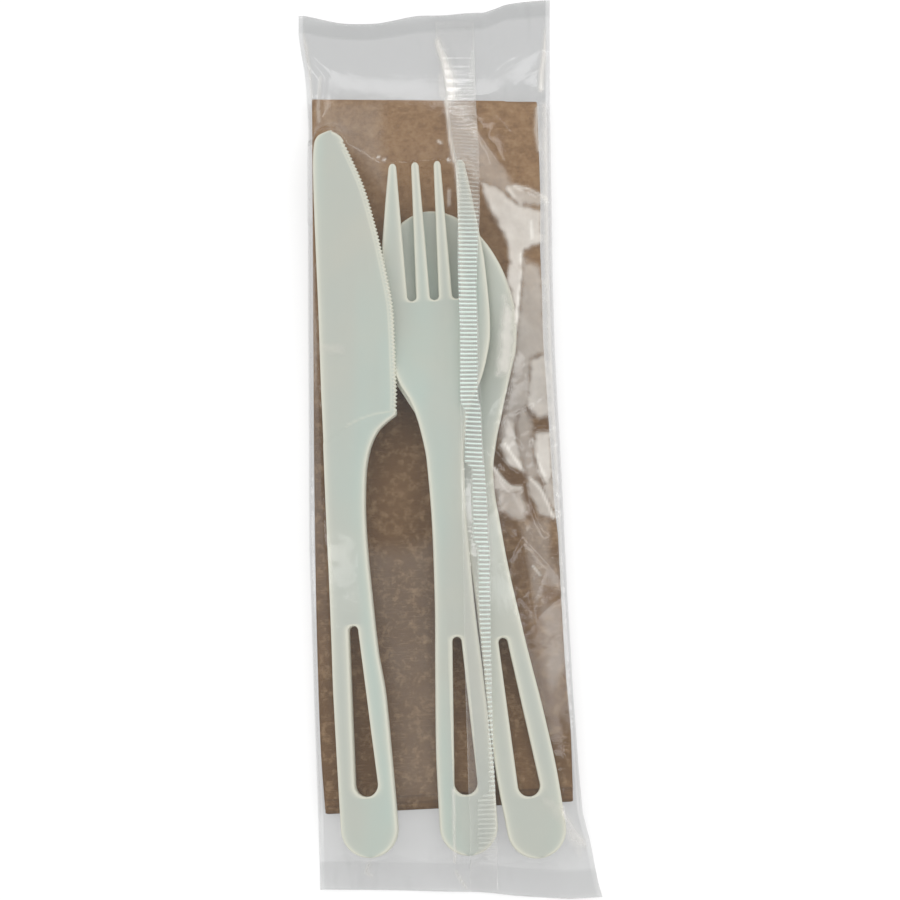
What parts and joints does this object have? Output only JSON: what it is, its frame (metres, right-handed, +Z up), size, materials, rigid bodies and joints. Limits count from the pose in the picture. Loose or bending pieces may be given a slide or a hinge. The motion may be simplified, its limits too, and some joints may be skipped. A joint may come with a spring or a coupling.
{
  "type": "cutlery pack",
  "caption": "Flat sleeve of clear film that holds a plastic knife, fork and spoon with slotted handles on a folded brown paper napkin.",
  "frame": {"origin": "middle of the pack's outline, on the surface that it lies on", "axes": "+Y along the pack to the fork's tines, +X from the knife to the spoon, +Z up through the sealed front"},
  "size_m": [0.0628, 0.2102, 0.0112],
  "materials": {
    "clear_film": "clear, thin and lightly wrinkled",
    "kraft_paper": "soft unbleached tissue",
    "moulded_plastic": "satin moulded plastic"
  },
  "bodies": {
    "root": {"film_wrapper": "clear_film", "napkin": "kraft_paper", "spoon": "moulded_plastic", "fork": "moulded_plastic", "knife": "moulded_plastic"}
  },
  "joints": []
}
